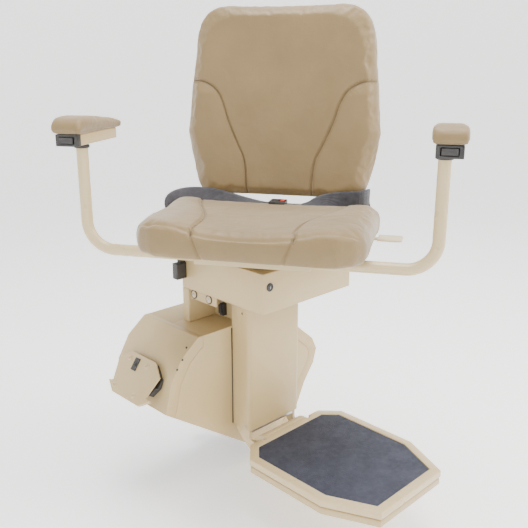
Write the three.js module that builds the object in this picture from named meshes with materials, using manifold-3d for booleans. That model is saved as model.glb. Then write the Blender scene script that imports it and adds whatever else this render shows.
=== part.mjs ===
// A stairlift chair: a powered carriage that climbs an inclined rail, a column with a
// fold-up footrest, and a padded seat that swivels on top of the column.
// Millimetres, +Z up. X runs level along the stairs, +Y points to the rail and the wall.
// The model is laid out from the swivel axis (X = Y = 0) and the top of the footrest
// mat (Z = 0), and the whole group is shifted last, so that its origin is the middle
// of the rail that the carriage grips.
import * as THREE from 'three';
import { mergeVertices } from 'three/addons/utils/BufferGeometryUtils.js';
import Module from 'manifold-3d';

const wasm = await Module();
wasm.setup();

// ---- fits ----
const GAP = 0.3;              // between pieces that touch
const SEAM = 0.6;             // between neighbouring cover panels
const RUN = 0.8;              // radial room of a turning pin or tube
const WALL = 3.5;             // moulded covers
const RAIL_ANGLE = 35 * Math.PI / 180;
const SWIVEL_REST = -58.25 * Math.PI / 180;   // the seat is turned towards the upper landing

// ---- carriage ----
const CARRIAGE_FRONT = 43;
const CARRIAGE_BACK = 252;
const CARRIAGE_TOP = 262;
const TOP_SEAM_Y = 160;       // between the front and the rear cover
const PLATE_T = 8;            // chassis plate
const UNDERSIDE = -79;        // lower edge, square to the rail, from the axis
const FLANGE = 28;            // how far an end cover wraps round onto the front
const LEVEL_RUN = FLANGE / 2; // and how far it runs along the level top
const OUTLINE_UPPER = [[-283, 110], [-268, 172], [-237, 224], [-188, CARRIAGE_TOP],
  [-188 + LEVEL_RUN, CARRIAGE_TOP]];
const OUTLINE_LOWER = [[66 - LEVEL_RUN, CARRIAGE_TOP], [66, CARRIAGE_TOP], [201, 149], [218, 115],
  [207, 77], [172, 30], [143, -30]];

// ---- rail and drive, in rail coordinates: along, across and square to the rail ----
const RAIL_MID = { along: -96, square: -5 };
const RAIL_HIGH = 80;
const RAIL_Y = 276;
const ROLLER_R = 22;
const ROLLER_W = 28;
const ROLLER_SPREAD = 135;
const AXLE_R = 6;
const PINION_TEETH = 12;
const PINION_R = 17;
const SENSOR_TRAVEL = 6;
const SENSOR_STANDOFF = SENSOR_TRAVEL + 8;   // end plate to end cover at rest
const SENSOR_POST_R = 5;
const SENSOR_ROOM_R = SENSOR_POST_R + 1.5;
const SENSOR_PLATE_T = 4;

// ---- column and head ----
const COLUMN_HALF = 86;
const COLUMN_FRONT = -16;
const COLUMN_FOOT = 6;
const HEAD_LOW = 348;
const HEAD_HIGH = 438;
const HEAD_HALF = 144.5;
const HEAD_FRONT = -122;
const HEAD_BACK = 153;
const POST_R = 26;            // swivel post
const POST_DEEP = 34;
const BLOCK_HALF = 60;        // inner block below the head
const HANGER = { x: 134, t: 6, low: 320 };   // side plates below the head
const LEG_DEEP = 22;
const PEEPHOLE = { y: 6.7, z: 303, r: 3 };

// ---- footrest ----
const MAT = { half: 140.7, back: -73.5, front: -401.5 };
const MAT_BACK_CORNER = [31, 32];
const MAT_FRONT_CORNER = [46, 98];
const MAT_T = 3;
const BORDER = 21;
const TRAY_T = 17;
const PAN_T = 17;
const PAN_TRAVEL = 2;
const HINGE = { y: -49, z: -29.5 };
const BARREL_R = 30.5;
const HINGE_PIN_R = 5;
const LUG_R = 9;
const LUG_T = 8;
const LUG_ROOM = 2.6;         // round the lug's nose, so that its corners clear as the tray folds
const FRAME_HALF = 72;        // column frame, and half the hinge barrel
const PIN_REACH = FRAME_HALF + LUG_T + 3;

// ---- seat ----
const TUBE_D = 25.4;
const ARM_HALF = 375.5;       // seat centre to the upright of an arm
const ARM_Y = -163;
const ARM_Z = 463.5;
const ARM_BEND = 62;
const BEAM_HALF = 125;
const BEAM_SIZE = TUBE_D + 5.6;
const HOUSING = { half: 25, front: -198, back: -30, low: 692.7, high: 716.6, out: 7 };
const CAP_DEPTH = 15;
const PAD_OVER = 10;
const CUSHION_ROUND = 14;
const SEAT_PAN_T = 7;
const SEAT_PAN_INSET = 45;
const CUSHION_LOW = ARM_Z + BEAM_SIZE / 2 + SEAT_PAN_T + 1;
const CUSHION = { half: 240, front: -266, back: 64, low: CUSHION_LOW, high: 535 };
const FOLD = { y: 80, z: 541 };
const FOLD_PIN_R = 5;
const EAR_T = 6;
const EAR_X = CUSHION.half - 64;
const EAR_FRONT = 71.3;       // the ears stand behind the cushion and the belt
const EAR_ROUND = 9;
const BACK = { y: 80, low: 551, deep: 52, shell: 20, tilt: 5 * Math.PI / 180 };
const BRACKET_TOP = 800;
const BRACKET_T = 8;
const STRAP_T = 2.6;
const STRAP_Y = [20, 62];

// ---- materials ----
function paint(color, roughness, metalness = 0) {
  return new THREE.MeshStandardMaterial({ color, roughness, metalness });
}
const CREAM = paint(0xddd1b8, 0.42);
const CREAM_METAL = paint(0xe3d8c2, 0.35, 0.1);
const VINYL = paint(0xb9a68a, 0.6);
const BLACK = paint(0x33312f, 0.5);
const MAT_GREY = paint(0x4f5462, 0.85);
const STEEL = paint(0xa9abad, 0.35, 0.9);
const WEBBING = paint(0x343238, 0.85);
const NYLON = paint(0xe9e6dd, 0.5);
const RED = paint(0xa5281f, 0.5);

// ---- booleans ----
function solid(geometry) {
  const bare = geometry.index ? geometry.toNonIndexed() : geometry.clone();
  bare.deleteAttribute('normal');
  bare.deleteAttribute('uv');
  const merged = mergeVertices(bare, 1e-3);
  return new wasm.Manifold(new wasm.Mesh({
    numProp: 3,
    vertProperties: merged.attributes.position.array,
    triVerts: new Uint32Array(merged.index.array),
  }));
}

function surface(manifold) {
  const mesh = manifold.getMesh();
  const geometry = new THREE.BufferGeometry();
  geometry.setAttribute('position', new THREE.BufferAttribute(mesh.vertProperties, 3));
  geometry.setIndex(new THREE.BufferAttribute(mesh.triVerts, 1));
  return geometry;
}

function cut(body, ...tools) {
  return surface(tools.reduce((left, tool) => left.subtract(solid(tool)), solid(body)));
}

function join(body, ...others) {
  return surface(others.reduce((sum, other) => sum.add(solid(other)), solid(body)));
}

// ---- shapes ----
function box([x0, x1], [y0, y1], [z0, z1]) {
  const geometry = new THREE.BoxGeometry(x1 - x0, y1 - y0, z1 - z0);
  return geometry.translate((x0 + x1) / 2, (y0 + y1) / 2, (z0 + z1) / 2);
}

function outlineShape(points) {
  return new THREE.Shape(points.map(([x, y]) => new THREE.Vector2(x, y)));
}

// a closed outline whose corners are rounded by quadratic curves that start `r` from the corner
function roundShape(points, radii) {
  const shape = new THREE.Shape();
  points.forEach(([x, y], i) => {
    const before = points[(i + points.length - 1) % points.length];
    const after = points[(i + 1) % points.length];
    const r = Array.isArray(radii) ? radii[i] : radii;
    const [ax, ay] = towards([x, y], before, r);
    const [bx, by] = towards([x, y], after, r);
    if (i === 0) shape.moveTo(ax, ay);
    else shape.lineTo(ax, ay);
    if (r > 0) shape.quadraticCurveTo(x, y, bx, by);
  });
  shape.closePath();
  return shape;
}

function towards([x, y], [tx, ty], distance) {
  const length = Math.hypot(tx - x, ty - y);
  return [x + (tx - x) * distance / length, y + (ty - y) * distance / length];
}

function extrude(shape, depth, bevel = 0, curveSegments = 4) {
  const geometry = new THREE.ExtrudeGeometry(shape, {
    depth: depth - 2 * bevel,
    curveSegments,
    steps: 1,
    bevelEnabled: bevel > 0,
    bevelThickness: bevel,
    bevelSize: bevel,
    bevelOffset: -bevel,
    bevelSegments: 2,
  });
  return geometry.translate(0, 0, bevel);
}

const asShape = (outline) => (Array.isArray(outline) ? outlineShape(outline) : outline);

// an (x, z) outline carried from y0 to y1
function prismY(outline, [y0, y1], bevel = 0) {
  return extrude(asShape(outline), y1 - y0, bevel).rotateX(Math.PI / 2).translate(0, y1, 0);
}

// an (x, y) outline carried from z0 to z1
function prismZ(outline, [z0, z1], bevel = 0, curveSegments = 4) {
  return extrude(asShape(outline), z1 - z0, bevel, curveSegments).translate(0, 0, z0);
}

// a (y, z) outline carried from x0 to x1
function prismX(outline, [x0, x1], bevel = 0) {
  const geometry = extrude(asShape(outline), x1 - x0, bevel);
  return geometry.rotateX(Math.PI / 2).rotateZ(Math.PI / 2).translate(x0, 0, 0);
}

function rod(radius, length, sides, axis) {
  const geometry = new THREE.CylinderGeometry(radius, radius, length, sides);
  if (axis === 'x') geometry.rotateZ(-Math.PI / 2);
  if (axis === 'z') geometry.rotateX(Math.PI / 2);
  return geometry;
}

function rodBetween(axis, radius, [from, to], [a, b], sides = 16) {
  const middle = (from + to) / 2;
  const geometry = rod(radius, to - from, sides, axis);
  if (axis === 'x') return geometry.translate(middle, a, b);
  if (axis === 'y') return geometry.translate(a, middle, b);
  return geometry.translate(a, b, middle);
}

// moves every edge of an open line of points to its right by `d`, meeting at mitres
function shiftLine(points, d) {
  const edges = points.slice(1).map(([x, y], i) => {
    const [px, py] = points[i];
    const length = Math.hypot(x - px, y - py);
    return [(y - py) / length, -(x - px) / length];
  });
  return points.map(([x, y], i) => {
    const [ax, ay] = edges[Math.max(i - 1, 0)];
    const [bx, by] = edges[Math.min(i, edges.length - 1)];
    const scale = d / (1 + ax * bx + ay * by);
    return [x + (ax + bx) * scale, y + (ay + by) * scale];
  });
}

// moves every edge of a closed clockwise outline inwards by `d`
function inset(points, d) {
  const ring = [points[points.length - 1], ...points, points[0]];
  return shiftLine(ring, d).slice(1, -1);
}

// a strip of thickness t on the right-hand side of an open line
function band(points, t) {
  return [...points, ...shiftLine(points, t).reverse()];
}

// a place in rail coordinates, written in the model's X and Z
function fromRail(along, square) {
  const c = Math.cos(RAIL_ANGLE);
  const s = Math.sin(RAIL_ANGLE);
  return [along * c + square * s, -along * s + square * c];
}

function toRail([x, z]) {
  const c = Math.cos(RAIL_ANGLE);
  const s = Math.sin(RAIL_ANGLE);
  return [x * c - z * s, x * s + z * c];
}

// ---- groups ----
const group = new THREE.Group();
const tilted = new THREE.Group();       // everything laid out along the rail
tilted.rotation.y = RAIL_ANGLE;
const seat = new THREE.Group();         // everything that swivels
seat.rotation.z = SWIVEL_REST;
group.add(tilted, seat);

function add(parent, name, geometry, material) {
  const mesh = new THREE.Mesh(geometry, material);
  mesh.name = name;
  parent.add(mesh);
  return mesh;
}

// ---- carriage covers and chassis ----
const upperFoot = fromRail(toRail(OUTLINE_UPPER[0])[0], UNDERSIDE);
const lowerFoot = fromRail(toRail(OUTLINE_LOWER.at(-1))[0], UNDERSIDE);
const CARRIAGE_OUTLINE = [upperFoot, ...OUTLINE_UPPER, ...OUTLINE_LOWER, lowerFoot];
const SENSOR_Y = (CARRIAGE_FRONT + CARRIAGE_BACK) / 2;
const SENSOR_POSTS = [-35, 35].map((side) => SENSOR_Y + side);
const SENSOR_POST_SQUARE = -36;

function postHoles(alongFrom, alongTo) {
  return SENSOR_POSTS.map((y) => {
    const hole = rodBetween('x', SENSOR_ROOM_R, [alongFrom, alongTo],
      [y, SENSOR_POST_SQUARE], 10);
    return hole.rotateY(RAIL_ANGLE);
  });
}

function coverPanels() {
  const full = [CARRIAGE_FRONT, CARRIAGE_BACK];
  const upperLine = [upperFoot, ...OUTLINE_UPPER];
  const lowerLine = [...OUTLINE_LOWER, lowerFoot];
  const upperEnd = toRail(upperFoot)[0];
  const lowerEnd = toRail(lowerFoot)[0];
  const skin = [CARRIAGE_FRONT, CARRIAGE_FRONT + WALL];
  const wrap = (line) => join(prismY(band(line, WALL), full), prismY(band(line, FLANGE), skin));
  add(group, 'end_cover_upper',
    cut(wrap(upperLine), ...postHoles(upperEnd - 40, upperEnd + 30)), CREAM);
  add(group, 'end_cover_lower',
    cut(wrap(lowerLine), ...postHoles(lowerEnd - 30, lowerEnd + 30)), CREAM);

  // the front panel drops in between the two end covers
  const front = inset(CARRIAGE_OUTLINE, WALL + SEAM);
  const topLine = [[OUTLINE_UPPER.at(-1)[0] + SEAM, CARRIAGE_TOP],
    [OUTLINE_LOWER[0][0] - SEAM, CARRIAGE_TOP]];
  const bottomLine = [
    fromRail(lowerEnd - WALL - SEAM, UNDERSIDE),
    fromRail(upperEnd + WALL + SEAM, UNDERSIDE),
  ];
  const panel = join(
    prismY(front, skin),
    prismY(band(topLine, WALL + SEAM + 1), [CARRIAGE_FRONT, TOP_SEAM_Y - SEAM]),
    prismY(band(bottomLine, WALL + SEAM + 1), [CARRIAGE_FRONT, CARRIAGE_FRONT + 60]),
  );
  const upperRoom = [...upperLine.slice(0, -1), topLine[0]];
  const lowerRoom = [topLine[1], ...lowerLine.slice(1)];
  const room = [skin[0] - 1, skin[1] + SEAM];
  add(group, 'front_cover', cut(panel, ...[upperRoom, lowerRoom].map((line) => (
    prismY(band(line, FLANGE + SEAM), room)))), CREAM);
  add(group, 'rear_cover', prismY(band(topLine, WALL), [TOP_SEAM_Y, CARRIAGE_BACK]), CREAM);
}

function chassis() {
  const plate = inset(CARRIAGE_OUTLINE, WALL + 0.5);
  const [shaftX, shaftZ] = fromRail(RAIL_MID.along, pinionSquare());
  const hole = rodBetween('y', 9, [CARRIAGE_BACK - 20, CARRIAGE_BACK + 5], [shaftX, shaftZ], 16);
  add(group, 'chassis_plate',
    cut(prismY(plate, [CARRIAGE_BACK - PLATE_T, CARRIAGE_BACK]), hole), STEEL);
}

// ---- rail grip and drive ----
function pinionSquare() {
  return RAIL_MID.square - RAIL_HIGH / 2 - PINION_R;
}

function pinionShape() {
  const shape = new THREE.Shape();
  for (let i = 0; i < PINION_TEETH * 4; i += 1) {
    const angle = (i + 0.5) * Math.PI / (PINION_TEETH * 2);
    const radius = i % 4 < 2 ? PINION_R - 0.5 : PINION_R - 5;
    const point = [radius * Math.cos(angle), radius * Math.sin(angle)];
    if (i === 0) shape.moveTo(...point);
    else shape.lineTo(...point);
  }
  shape.closePath();
  return shape;
}

function railGrip() {
  const square = RAIL_HIGH / 2 + ROLLER_R;
  const places = [[-1, 1], [1, 1], [-1, -1], [1, -1]];
  places.forEach(([end, side], i) => {
    const along = RAIL_MID.along + end * ROLLER_SPREAD;
    const high = RAIL_MID.square + side * square;
    const span = [RAIL_Y - ROLLER_W / 2, RAIL_Y + ROLLER_W / 2];
    const tyre = cut(
      rodBetween('y', ROLLER_R, span, [along, high], 24),
      rodBetween('y', AXLE_R + RUN, [span[0] - 1, span[1] + 1], [along, high], 16),
    );
    add(tilted, `rail_roller_${i + 1}`, tyre, NYLON);
    const axle = join(
      rodBetween('y', AXLE_R, [CARRIAGE_BACK + GAP, span[1] + 4], [along, high], 12),
      rodBetween('y', AXLE_R + 4, [CARRIAGE_BACK + GAP, span[0] - GAP], [along, high], 12),
      rodBetween('y', AXLE_R + 4, [span[1] + GAP, span[1] + 4], [along, high], 12),
    );
    add(tilted, `roller_axle_${i + 1}`, axle, STEEL);
  });
  const padSize = [70, RAIL_HIGH * 0.6];
  add(tilted, 'rail_side_pad', box(
    [RAIL_MID.along - padSize[0] / 2, RAIL_MID.along + padSize[0] / 2],
    [CARRIAGE_BACK + GAP, RAIL_Y - ROLLER_W / 2 - 2],
    [RAIL_MID.square - padSize[1] / 2, RAIL_MID.square + padSize[1] / 2],
  ), NYLON);
}

function drive() {
  const square = pinionSquare();
  const gearY = [RAIL_Y - 8, RAIL_Y + 8];
  const gear = prismY(pinionShape(), gearY).translate(RAIL_MID.along, 0, square);
  const shaftFrom = CARRIAGE_BACK - PLATE_T - 3;
  add(tilted, 'drive_pinion', join(
    gear,
    rodBetween('y', 8, [shaftFrom, gearY[1] - 1], [RAIL_MID.along, square], 16),
  ), STEEL);
  const floor = UNDERSIDE + WALL + 5;
  const gearbox = { along: [RAIL_MID.along - 34, RAIL_MID.along + 34], square: [floor, floor + 76] };
  add(tilted, 'gearbox', box(gearbox.along, [115, shaftFrom - GAP], gearbox.square), STEEL);
  const motorR = 36;
  add(tilted, 'drive_motor', rodBetween('x', motorR,
    [gearbox.along[1] + GAP, gearbox.along[1] + 140], [175, floor + motorR], 20), BLACK);
  const battery = { long: 150, wide: 65, high: 94 };
  [0, 1].forEach((i) => {
    const y0 = CARRIAGE_FRONT + WALL + 12 + i * (battery.wide + 6);
    add(tilted, `battery_${i + 1}`, box(
      [gearbox.along[0] - 6 - battery.long, gearbox.along[0] - 6],
      [y0, y0 + battery.wide], [floor + 20, floor + 20 + battery.high],
    ), BLACK);
  });
}

// a five-cornered plate with a lip below, on two posts that slide into the end cover
function sensorPlate(name, face, outwards) {
  const half = { top: 46, shoulder: 80, side: 66.5, lip: 79, toe: 51 };
  const level = { top: 17, shoulder: -10, side: -61, lip: -68, toe: -87 };
  const sideOf = (s) => [[s * half.top, level.top], [s * half.shoulder, level.shoulder],
    [s * half.side, level.side], [s * half.lip, level.lip], [s * half.toe, level.toe]];
  const plate = [...sideOf(1), ...sideOf(-1).reverse()].map(([y, z]) => [SENSOR_Y + y, z]);
  const lip = [[half.lip, level.lip + 3], [half.lip, level.lip], [half.toe, level.toe],
    [-half.toe, level.toe], [-half.lip, level.lip], [-half.lip, level.lip + 3]];
  const slab = [face, face + outwards * SENSOR_PLATE_T].sort((a, b) => a - b);
  const edge = [face - outwards * 6, face + outwards * SENSOR_PLATE_T].sort((a, b) => a - b);
  const posts = SENSOR_POSTS.map((y) => rodBetween('x', SENSOR_POST_R,
    [face - outwards * 34, face + outwards].sort((a, b) => a - b), [y, SENSOR_POST_SQUARE], 10));
  add(tilted, name, join(
    prismX(plate, slab),
    prismX(lip.map(([y, z]) => [SENSOR_Y + y, z]), edge),
    ...posts,
  ), CREAM);
}

// ---- column, head and footrest hinge ----
function column() {
  const top = HEAD_LOW - GAP;
  const rear = CARRIAGE_FRONT - GAP;
  const outer = roundShape([[-COLUMN_HALF, COLUMN_FRONT], [COLUMN_HALF, COLUMN_FRONT],
    [COLUMN_HALF, rear], [-COLUMN_HALF, rear]], [12, 12, 0, 0]);
  const inner = box([-COLUMN_HALF + WALL, COLUMN_HALF - WALL],
    [COLUMN_FRONT + WALL, rear + 5], [COLUMN_FOOT - 5, top + 5]);
  const peephole = rodBetween('x', PEEPHOLE.r,
    [-COLUMN_HALF - 2, -COLUMN_HALF + WALL + 2], [PEEPHOLE.y, PEEPHOLE.z], 10);
  add(group, 'column_cover', cut(prismZ(outer, [COLUMN_FOOT, top]), inner, peephole), CREAM);
  const frameY = [COLUMN_FRONT + WALL + 4, rear - 1];
  add(group, 'column_frame', cut(
    box([-FRAME_HALF, FRAME_HALF], frameY, [COLUMN_FOOT - 12, HEAD_HIGH - POST_DEEP - 8]),
    box([-FRAME_HALF + 5, FRAME_HALF - 5], [frameY[0] + 5, frameY[1] - 5], [-50, HEAD_HIGH]),
  ), STEEL);
}

function head() {
  const wide = [-HEAD_HALF, HEAD_HALF];
  const outer = roundShape([[-HEAD_HALF, HEAD_FRONT], [HEAD_HALF, HEAD_FRONT],
    [HEAD_HALF, HEAD_BACK], [-HEAD_HALF, HEAD_BACK]], 5);
  const inside = box([wide[0] + WALL, wide[1] - WALL], [HEAD_FRONT + WALL, HEAD_BACK - WALL],
    [HEAD_LOW + WALL, HEAD_HIGH - WALL]);
  const columnWay = box([-FRAME_HALF - 1, FRAME_HALF + 1],
    [COLUMN_FRONT + WALL + 3, CARRIAGE_FRONT - GAP], [HEAD_LOW - 5, HEAD_LOW + WALL + 5]);
  const postWay = rodBetween('z', POST_R + RUN, [HEAD_HIGH - WALL - 5, HEAD_HIGH + 5], [0, 0], 24);
  add(group, 'head_box', cut(prismZ(outer, [HEAD_LOW, HEAD_HIGH]), inside, columnWay, postWay), CREAM);

  // the upright that carries the head behind the column, with a leg flush with the head's side
  const low = CARRIAGE_TOP + GAP;
  const high = HEAD_LOW - GAP;
  const legY = [HEAD_BACK - LEG_DEEP, HEAD_BACK];
  add(group, 'upright_block', join(
    box([-BLOCK_HALF, BLOCK_HALF], [CARRIAGE_FRONT + 12, HEAD_BACK], [low, high]),
    ...[-1, 1].map((side) => box(
      [side * HANGER.x, side * (HANGER.x - HANGER.t)].sort((a, b) => a - b),
      [CARRIAGE_FRONT, HEAD_BACK], [HANGER.low, high])),
    box([-HEAD_HALF + 1, HEAD_HALF - 1], legY, [low, high]),
  ), CREAM);

  const ring = [HEAD_HIGH + GAP, HEAD_HIGH + 5];
  add(group, 'swivel_bearing', cut(
    rodBetween('z', 70, ring, [0, 0], 32),
    rodBetween('z', POST_R + RUN, [ring[0] - 2, ring[1] + 2], [0, 0], 24),
  ), STEEL);
  const blockX = [-HEAD_HALF - 28, -HEAD_HALF - GAP];
  add(group, 'interlock_switch', join(
    box(blockX, [HEAD_BACK - 20, HEAD_BACK - 2], [374, 412]),
    box([blockX[0] + 12, blockX[1]], [HEAD_BACK - 17, HEAD_BACK - 5], [411, 424]),
  ), BLACK);
}

function footrestHinge() {
  const front = COLUMN_FRONT + WALL + 4;
  const rear = CARRIAGE_FRONT - 6;
  const lug = roundShape([[front, 70], [front, HINGE.z + LUG_R], [HINGE.y - LUG_R, HINGE.z + LUG_R],
    [HINGE.y - LUG_R, HINGE.z - LUG_R], [front, HINGE.z - LUG_R - 8], [rear, COLUMN_FOOT - 12],
    [rear, 70]], [0, 6, 7, 7, 6, 0, 0]);
  const bore = rodBetween('x', HINGE_PIN_R + GAP, [-200, 200], [HINGE.y, HINGE.z], 16);
  [-1, 1].forEach((side) => {
    const span = [side * (FRAME_HALF + GAP), side * (FRAME_HALF + GAP + LUG_T)].sort((a, b) => a - b);
    add(group, `hinge_lug_${side < 0 ? 'left' : 'right'}`, cut(prismX(lug, span), bore), CREAM_METAL);
  });
  add(group, 'footrest_hinge_pin',
    rodBetween('x', HINGE_PIN_R, [-PIN_REACH, PIN_REACH], [HINGE.y, HINGE.z], 16), STEEL);
}

// ---- footrest ----
function footrestOutline(grow) {
  const { half, back, front } = MAT;
  const [bx, by] = MAT_BACK_CORNER;
  const [fx, fy] = MAT_FRONT_CORNER;
  const points = [[-half + bx, back], [half - bx, back], [half, back - by], [half, front + fy],
    [half - fx, front], [-half + fx, front], [-half, front + fy], [-half, back - by]];
  return inset(points, -grow);
}

function footrest() {
  const rim = 1.6;
  const backEdge = MAT.back + BORDER;
  const trayLow = rim - TRAY_T;
  const tray = prismZ(footrestOutline(BORDER), [trayLow, rim], 2);
  const recess = prismZ(footrestOutline(GAP + 0.2), [-MAT_T - GAP, rim + 5]);
  // slots that the two lugs and the pin's ends turn in
  const lugRoom = [-1, 1].map((side) => {
    const across = [side * (FRAME_HALF - 0.7), side * (PIN_REACH + 1)].sort((a, b) => a - b);
    return box(across, [HINGE.y - LUG_R - LUG_ROOM, backEdge + 5], [HINGE.z - 30, rim + 5]);
  });
  add(group, 'footrest_tray', cut(tray, recess, ...lugRoom), CREAM_METAL);
  add(group, 'footrest_mat', prismZ(footrestOutline(0), [-MAT_T, 0]), MAT_GREY);
  const panTop = trayLow - PAN_TRAVEL - GAP;
  const pinRoom = rodBetween('x', HINGE_PIN_R + 1 + PAN_TRAVEL, [-PIN_REACH - 1, PIN_REACH + 1],
    [HINGE.y, HINGE.z], 16);
  add(group, 'footrest_sensor_pan', cut(
    prismZ(footrestOutline(BORDER - 1.5), [panTop - PAN_T, panTop], 3), pinRoom, ...lugRoom,
  ), CREAM);

  // the hinge barrel is round about the pin, so that it clears the column as the tray folds
  const flat = backEdge + GAP;
  const width = [-FRAME_HALF + GAP, FRAME_HALF - GAP];
  add(group, 'footrest_barrel', cut(
    rodBetween('x', BARREL_R, width, [HINGE.y, HINGE.z], 36),
    box([-200, 200], [HINGE.y - 60, flat], [HINGE.z - 60, HINGE.z + 60]),
    box([-200, 200], [HINGE.y - 60, HINGE.y + 60], [HINGE.z - 60, HINGE.z - 16]),
    rodBetween('x', HINGE_PIN_R + GAP, [-200, 200], [HINGE.y, HINGE.z], 16),
  ), CREAM_METAL);
}

// ---- seat frame ----
function seatFrame() {
  const plate = [HEAD_HIGH + 5 + GAP, HEAD_HIGH + 10];
  const low = plate[1] + GAP;
  const beamLow = ARM_Z - BEAM_SIZE / 2;
  const high = CUSHION.low - SEAT_PAN_T - 2;
  add(seat, 'swivel_plate', join(
    box([-122, 122], [-140, 112], plate),
    rodBetween('z', POST_R, [HEAD_HIGH - POST_DEEP, plate[0] + 1], [0, 0], 24),
  ), STEEL);
  add(seat, 'seat_beam', cut(
    box([-BEAM_HALF, BEAM_HALF], [ARM_Y - BEAM_SIZE / 2, ARM_Y + BEAM_SIZE / 2],
      [beamLow, beamLow + BEAM_SIZE]),
    rodBetween('x', TUBE_D / 2 + RUN, [-BEAM_HALF - 5, BEAM_HALF + 5], [ARM_Y, ARM_Z], 24),
  ), CREAM_METAL);
  const rails = [-1, 1].map((side) => {
    const across = [side * 90, side * 120].sort((a, b) => a - b);
    return box(across, [ARM_Y + BEAM_SIZE / 2 + GAP, 112], [low, high]);
  });
  add(seat, 'seat_frame', join(rails[0], rails[1], box([-110, 110], [84, 112], [low, high])), CREAM_METAL);

  // two uprights carry the backrest and the pins that the seat folds about
  const uprightX = [EAR_X - GAP - 22, EAR_X - GAP];
  const foot = box([-uprightX[1], uprightX[1]], [112 + GAP, 134], [low, high]);
  const uprights = [-1, 1].flatMap((side) => {
    const across = uprightX.map((x) => side * x).sort((a, b) => a - b);
    const pin = [side * (uprightX[1] - 2), side * (EAR_X + EAR_T + 3)].sort((a, b) => a - b);
    const shellBack = BACK.y + BACK.deep + BACK.shell + 2 * GAP;
    const lean = Math.tan(BACK.tilt);
    const at = (z) => shellBack + (z - BACK.low) * lean + 0.5;
    const post = [[at(800) + 8, 800], [at(800), 800], [at(low), low], [at(low) + 8, low]];
    const arm = [[at(FOLD.z) + 6, FOLD.z - 8], [at(FOLD.z) + 6, FOLD.z + 3],
      [FOLD.y - 4, FOLD.z + 6], [FOLD.y - 7, FOLD.z], [FOLD.y - 4, FOLD.z - 8]];
    const footing = box(across, [112 + GAP, at(low) + 6], [low, high]);
    return [prismX(post, across), prismX(arm, across), footing,
      rodBetween('x', FOLD_PIN_R, pin, [FOLD.y, FOLD.z], 14)];
  });
  add(seat, 'back_bracket', join(foot, ...uprights), CREAM_METAL);
}

function swivelLever() {
  const bar = [[121, 462], [205, 462], [215, 464.5], [297, 464.5], [297, 468.5], [213, 468.5],
    [203, 466], [121, 466]];
  const paddle = roundShape([[121, 52], [240, 52], [240, 44], [297, 44], [297, 96], [240, 96],
    [240, 72], [121, 72]], [0, 0, 0, 12, 12, 0, 0, 0]);
  const blank = solid(prismY(bar, [30, 110]));
  add(seat, 'swivel_lever', surface(blank.intersect(solid(prismZ(paddle, [440, 490])))), CREAM_METAL);
}

// ---- upholstery ----
function cushionOutline(over = 0) {
  const { half, front, back } = CUSHION;
  return roundShape([[-half + over, front + over], [half - over, front + over],
    [half - over, back - over], [-half + over, back - over]], [95, 95, 30, 30]);
}

function seatBase() {
  add(seat, 'seat_cushion',
    prismZ(cushionOutline(), [CUSHION.low, CUSHION.high], CUSHION_ROUND), VINYL);
  const panHigh = CUSHION.low - GAP;
  const panLow = panHigh - SEAT_PAN_T;
  const ears = [-1, 1].flatMap((side) => {
    const across = [side * EAR_X, side * (EAR_X + EAR_T)].sort((a, b) => a - b);
    const ear = roundShape([[0, panLow], [FOLD.y + EAR_ROUND, panLow],
      [FOLD.y + EAR_ROUND, FOLD.z + EAR_ROUND], [EAR_FRONT, FOLD.z + EAR_ROUND],
      [EAR_FRONT, panLow + 6], [0, panLow + 6]], [0, 3, 8, 7, 0, 0]);
    return [prismX(ear, across)];
  });
  const bores = rodBetween('x', FOLD_PIN_R + 0.6, [-220, 220], [FOLD.y, FOLD.z], 16);
  add(seat, 'seat_pan', cut(
    join(prismZ(cushionOutline(SEAT_PAN_INSET), [panLow, panHigh], 0, 3), ...ears),
    bores,
  ), BLACK);
}

function backOutline(over = 0) {
  const rows = [[0, 190], [150, 227], [255, 219], [350, 206], [433, 188]];
  const right = rows.map(([up, half]) => [half - over, up]);
  right[0][1] += over;
  right.at(-1)[1] -= over;
  const left = right.map(([x, up]) => [-x, up]).reverse();
  return roundShape([...right, ...left], [42, 0, 0, 0, 62, 62, 0, 0, 0, 42]);
}

// the backrest leans back about its lower front edge
function backrest() {
  const leaning = (geometry) => geometry.rotateX(-BACK.tilt).translate(0, BACK.y, BACK.low);
  add(seat, 'back_cushion', leaning(prismY(backOutline(), [0, BACK.deep], 14)), VINYL);
  const shellFrom = BACK.deep + GAP;
  add(seat, 'back_shell',
    leaning(prismY(backOutline(5), [shellFrom, shellFrom + BACK.shell], 8)), CREAM);
}

// ---- arms ----
class ArmPath extends THREE.Curve {
  constructor(side) {
    super();
    this.side = side;
    this.inner = 18;
    this.level = ARM_HALF - ARM_BEND - this.inner;
    this.arc = ARM_BEND * Math.PI / 2;
    this.rise = HOUSING.low - GAP - ARM_Z - ARM_BEND;
  }

  getPoint(t) {
    const s = t * (this.level + this.arc + this.rise);
    let x = this.inner + s;
    let z = ARM_Z;
    if (s > this.level) {
      const angle = Math.min(s - this.level, this.arc) / ARM_BEND;
      x = ARM_HALF - ARM_BEND + ARM_BEND * Math.sin(angle);
      z = ARM_Z + ARM_BEND * (1 - Math.cos(angle));
    }
    if (s > this.level + this.arc) z += s - this.level - this.arc;
    return new THREE.Vector3(this.side * x, ARM_Y, z);
  }
}

function armPadShape() {
  const { front, back, high } = HOUSING;
  const low = high + GAP;
  const nose = front - CAP_DEPTH - 9;
  const shape = new THREE.Shape();
  shape.moveTo(back + 20, low);
  shape.lineTo(back + 20, low + 14);
  shape.quadraticCurveTo(back - 80, low + 30, front + 8, low + 35);
  shape.quadraticCurveTo(nose + 2, low + 34, nose, low + 8);
  shape.quadraticCurveTo(nose + 1, low, nose + 9, low);
  shape.closePath();
  return shape;
}

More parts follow.
